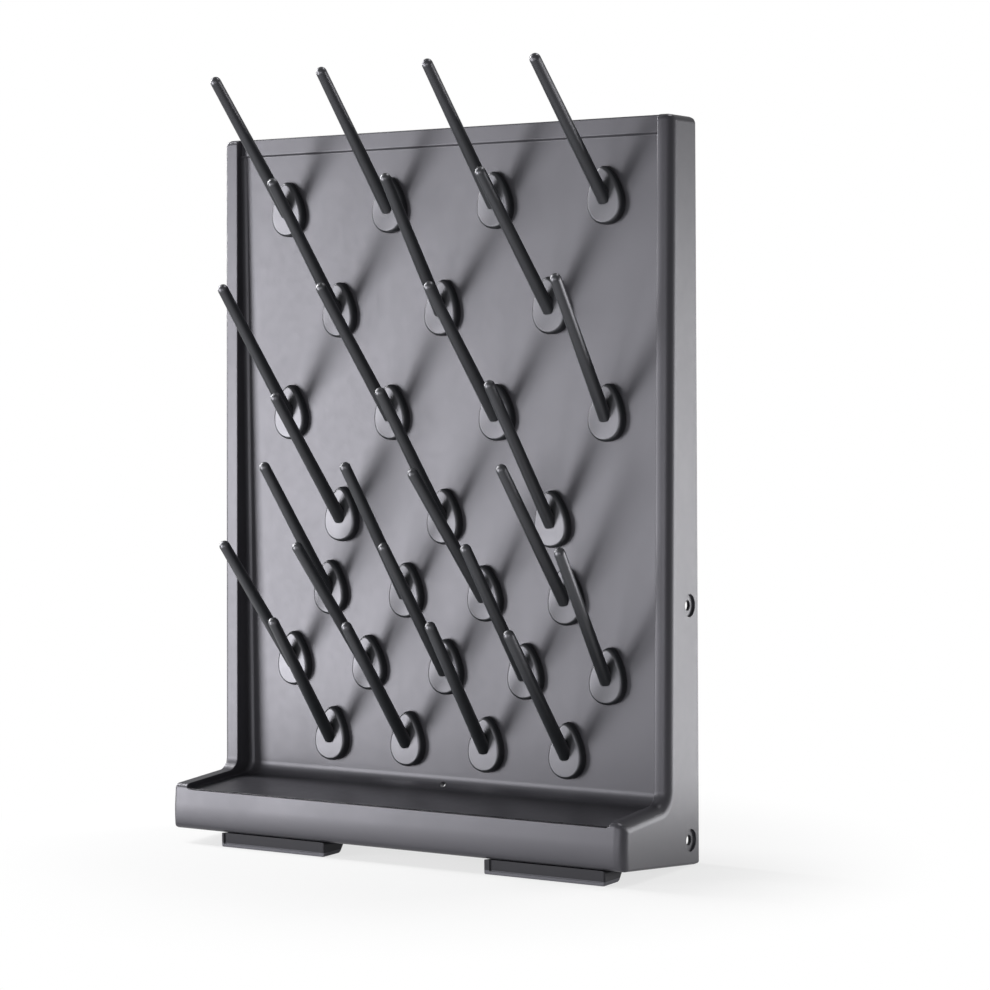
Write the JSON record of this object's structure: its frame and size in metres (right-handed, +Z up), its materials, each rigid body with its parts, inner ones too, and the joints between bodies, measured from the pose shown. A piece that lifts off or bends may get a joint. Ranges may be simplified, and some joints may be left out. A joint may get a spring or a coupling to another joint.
{
  "type": "drying pegboard rack",
  "caption": "Free-standing drying rack for glassware: an upright moulded back board with a drip tray and feet, and rows of plug-in pegs that lean up and forwards.",
  "frame": {"origin": "on the ground, in the middle of the rack's box in X and Y", "axes": "+Z up, -Y towards the front, where the pegs and the tray are, +X to the viewer's right when seen from the front"},
  "size_m": [0.4, 0.1273, 0.5918],
  "materials": {
    "board": "satin dark grey polypropylene",
    "peg": "smooth near-black polypropylene",
    "foot": "dull dark grey polypropylene"
  },
  "bodies": {
    "root": {"foot_left": "foot", "foot_right": "foot", "peg_1_1": "peg", "peg_1_2": "peg", "peg_1_3": "peg", "peg_1_4": "peg", "peg_2_1": "peg", "peg_2_2": "peg", "peg_2_3": "peg", "peg_3_1": "peg", "peg_3_2": "peg", "peg_3_3": "peg", "peg_3_4": "peg", "peg_4_1": "peg", "peg_4_2": "peg", "peg_4_3": "peg", "peg_5_1": "peg", "peg_5_2": "peg", "peg_5_3": "peg", "peg_5_4": "peg", "peg_6_1": "peg", "peg_6_2": "peg", "peg_6_3": "peg", "peg_6_4": "peg", "peg_6_5": "peg", "peg_7_1": "peg", "peg_7_2": "peg", "peg_7_3": "peg", "peg_7_4": "peg", "rack_body": "board"}
  },
  "joints": []
}
